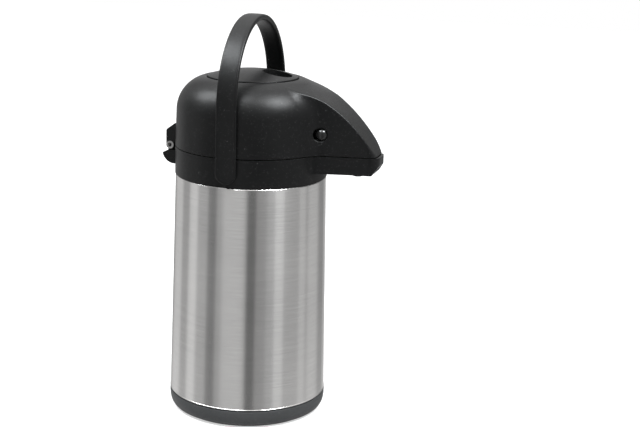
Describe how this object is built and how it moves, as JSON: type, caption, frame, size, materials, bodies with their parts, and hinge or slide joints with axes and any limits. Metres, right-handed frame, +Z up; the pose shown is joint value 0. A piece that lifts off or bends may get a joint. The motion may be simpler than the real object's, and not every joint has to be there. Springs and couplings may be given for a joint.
{
  "type": "pump airpot",
  "caption": "Steel vacuum airpot with a black hinged pump head shaped like a bird's beak, push button, spout, swing handle and swivelling foot.",
  "frame": {"origin": "on the floor, in the bottle's axis, at the underside of the rubber foot ring", "axes": "+Z up along the bottle's axis; +X forward, the way the spout points; +Y to the left of the spout"},
  "size_m": [0.2162, 0.158, 0.391],
  "materials": {
    "black_plastic": "satin black moulded plastic with a fine grain",
    "gloss_black": "glossy black plastic",
    "brushed_casing": "stainless steel brushed round the axis",
    "liner_steel": "plain stainless steel",
    "hardware_steel": "zinc-plated steel hardware",
    "foot_rubber": "black rubber",
    "silicone": "translucent silicone rubber",
    "inner_plastic": "natural white plastic"
  },
  "bodies": {
    "body": {"base_cap": "black_plastic", "outer_casing": "brushed_casing", "casing_shoulder": "liner_steel", "casing_bottom": "liner_steel", "inner_liner": "liner_steel", "liner_neck": "liner_steel", "collar": "black_plastic", "neck_ring": "black_plastic", "mouth_gasket": "silicone", "stem_head": "inner_plastic", "stem_bridge": "inner_plastic", "stem_post": "inner_plastic", "dip_tube": "inner_plastic", "tube_foot": "inner_plastic", "spout_pipe": "silicone", "spout_nozzle": "black_plastic", "hinge_eyelets": "hardware_steel", "swivel_washer": "hardware_steel", "swivel_screw": "hardware_steel"},
    "turntable": {"swivel_plate": "black_plastic", "foot_ring": "foot_rubber", "slip_ring": "inner_plastic"},
    "head": {"head_shell": "black_plastic", "head_base_plate": "black_plastic", "plate_screws": "hardware_steel", "bellows_base": "inner_plastic", "outlet_valve": "silicone", "lid_gasket": "silicone", "bellows": "inner_plastic", "return_spring": "hardware_steel", "release_spring_left": "hardware_steel", "release_spring_right": "hardware_steel"},
    "pump": {"pump_button": "black_plastic", "plunger": "inner_plastic", "intake_valve": "silicone", "plunger_screws": "hardware_steel"},
    "lock": {"lock_tab": "black_plastic"},
    "release_left": {"release_button_left": "gloss_black"},
    "release_right": {"release_button_right": "gloss_black"},
    "bushes": {"handle_bushes": "inner_plastic"},
    "handle": {"carry_handle": "black_plastic", "handle_pins": "hardware_steel", "handle_clips": "hardware_steel"}
  },
  "joints": [
    {"name": "turntable_turn", "type": "hinge", "parent": "body", "child": "turntable", "pos_m": [0, 0, 0.004], "axis": [0, 0, 1], "continuous": true},
    {"name": "head_open", "type": "hinge", "parent": "body", "child": "head", "pos_m": [-0.0784, 0, 0.261], "axis": [0, -1, 0], "range_deg": [0, 77.5]},
    {"name": "pump_press", "type": "slide", "parent": "head", "child": "pump", "axis": [0, 0, 1], "range_m": [-0.025, 0], "stiffness_N_per_m": 400, "springref_m": 0.01, "deforming": ["bellows", "return_spring"]},
    {"name": "lock_slide", "type": "slide", "parent": "pump", "child": "lock", "axis": [1, 0, 0], "range_m": [0, 0.005]},
    {"name": "release_left_press", "type": "slide", "parent": "head", "child": "release_left", "axis": [0, -1, 0], "range_m": [0, 0.003], "stiffness_N_per_m": 300, "springref_m": -0.002, "deforming": ["release_spring_left"]},
    {"name": "release_right_press", "type": "slide", "parent": "head", "child": "release_right", "axis": [0, 1, 0], "range_m": [0, 0.003], "stiffness_N_per_m": 300, "springref_m": -0.002, "deforming": ["release_spring_right"]},
    {"name": "handle_carry", "type": "hinge", "parent": "body", "child": "bushes", "pos_m": [0, 0, 0.2505], "axis": [0, 1, 0], "range_deg": [-139.5, 0]},
    {"name": "handle_swing", "type": "hinge", "parent": "bushes", "child": "handle", "pos_m": [0, 0, 0.2505], "axis": [0, 1, 0], "range_deg": [-130, 130]}
  ],
  "couplings": [
    {"joint": "handle_carry", "follows": "head_open", "ratio": -1.8}
  ]
}
